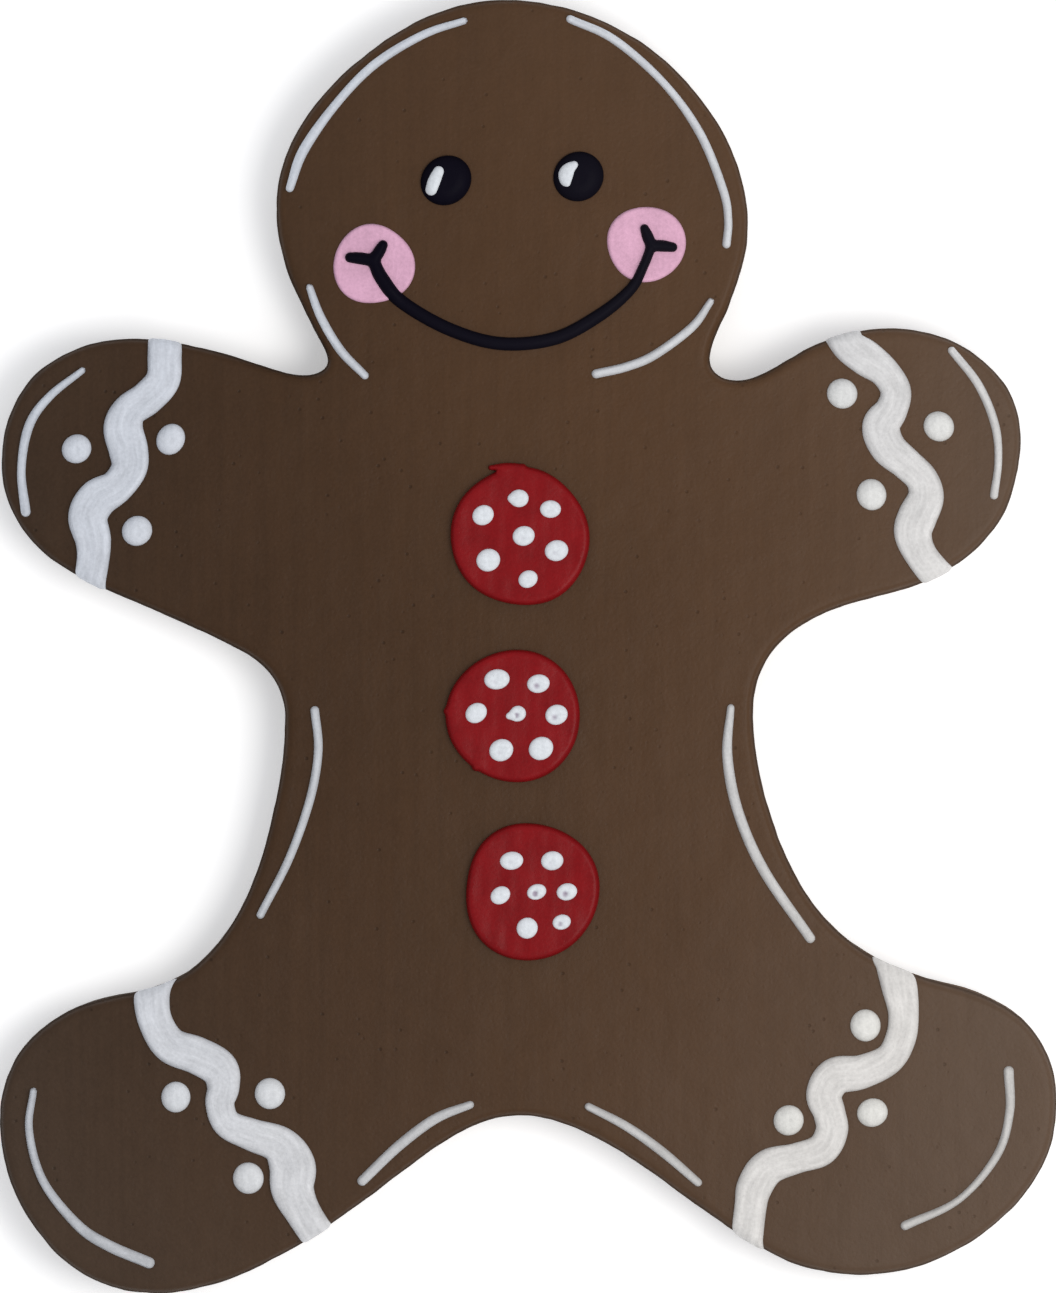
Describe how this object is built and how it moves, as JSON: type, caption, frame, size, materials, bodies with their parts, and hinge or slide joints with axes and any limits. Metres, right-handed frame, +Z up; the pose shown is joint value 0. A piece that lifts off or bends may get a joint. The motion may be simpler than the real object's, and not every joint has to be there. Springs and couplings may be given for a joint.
{
  "type": "gingerbread man cookie",
  "caption": "Flat gingerbread man biscuit of dark baked dough with piped white lines, zigzag bands and dots, spotted red icing buttons, pink cheeks and a smiling face.",
  "frame": {"origin": "On the table under the middle of the biscuit's outline, which lies on its flat back with the decorated face up.", "axes": "+Z up out of the decorated face, +Y from the feet to the head, +X to the right as seen by someone who looks down at the face."},
  "size_m": [0.1226, 0.15, 0.0097],
  "materials": {
    "gingerbread": "dark baked gingerbread, matt, with a fine crumb",
    "white_icing": "dried white royal icing, slightly satin, with the streaks of the piping",
    "red_icing": "dried dark red royal icing, satin",
    "pink_icing": "thin dried pink icing, matt and streaked",
    "black_icing": "black icing, satin gloss"
  },
  "bodies": {
    "root": {"biscuit": "gingerbread", "band_arm_left": "white_icing", "band_arm_right": "white_icing", "band_leg_left": "white_icing", "band_leg_right": "white_icing", "line_head_left": "white_icing", "line_head_right": "white_icing", "line_chin_left": "white_icing", "line_chin_right": "white_icing", "line_hand_left": "white_icing", "line_hand_right": "white_icing", "line_waist_left": "white_icing", "line_waist_right": "white_icing", "line_foot_left": "white_icing", "line_foot_right": "white_icing", "line_crotch_left": "white_icing", "line_crotch_right": "white_icing", "dot_arm_left_1": "white_icing", "dot_arm_left_2": "white_icing", "dot_arm_left_3": "white_icing", "dot_arm_right_1": "white_icing", "dot_arm_right_2": "white_icing", "dot_arm_right_3": "white_icing", "dot_leg_left_1": "white_icing", "dot_leg_left_2": "white_icing", "dot_leg_left_3": "white_icing", "dot_leg_right_1": "white_icing", "dot_leg_right_2": "white_icing", "dot_leg_right_3": "white_icing", "button_top": "red_icing", "button_top_spot_1": "white_icing", "button_top_spot_2": "white_icing", "button_top_spot_3": "white_icing", "button_top_spot_4": "white_icing", "button_top_spot_5": "white_icing", "button_top_spot_6": "white_icing", "button_top_spot_7": "white_icing", "button_middle": "red_icing", "button_middle_spot_1": "white_icing", "button_middle_spot_2": "white_icing", "button_middle_spot_3": "white_icing", "button_middle_spot_4": "white_icing", "button_middle_spot_5": "white_icing", "button_middle_spot_6": "white_icing", "button_middle_spot_7": "white_icing", "button_bottom": "red_icing", "button_bottom_spot_1": "white_icing", "button_bottom_spot_2": "white_icing", "button_bottom_spot_3": "white_icing", "button_bottom_spot_4": "white_icing", "button_bottom_spot_5": "white_icing", "button_bottom_spot_6": "white_icing", "button_bottom_spot_7": "white_icing", "eye_left": "black_icing", "eye_glint_left": "white_icing", "eye_right": "black_icing", "eye_glint_right": "white_icing", "cheek_left": "pink_icing", "cheek_right": "pink_icing", "mouth": "black_icing"}
  },
  "joints": []
}
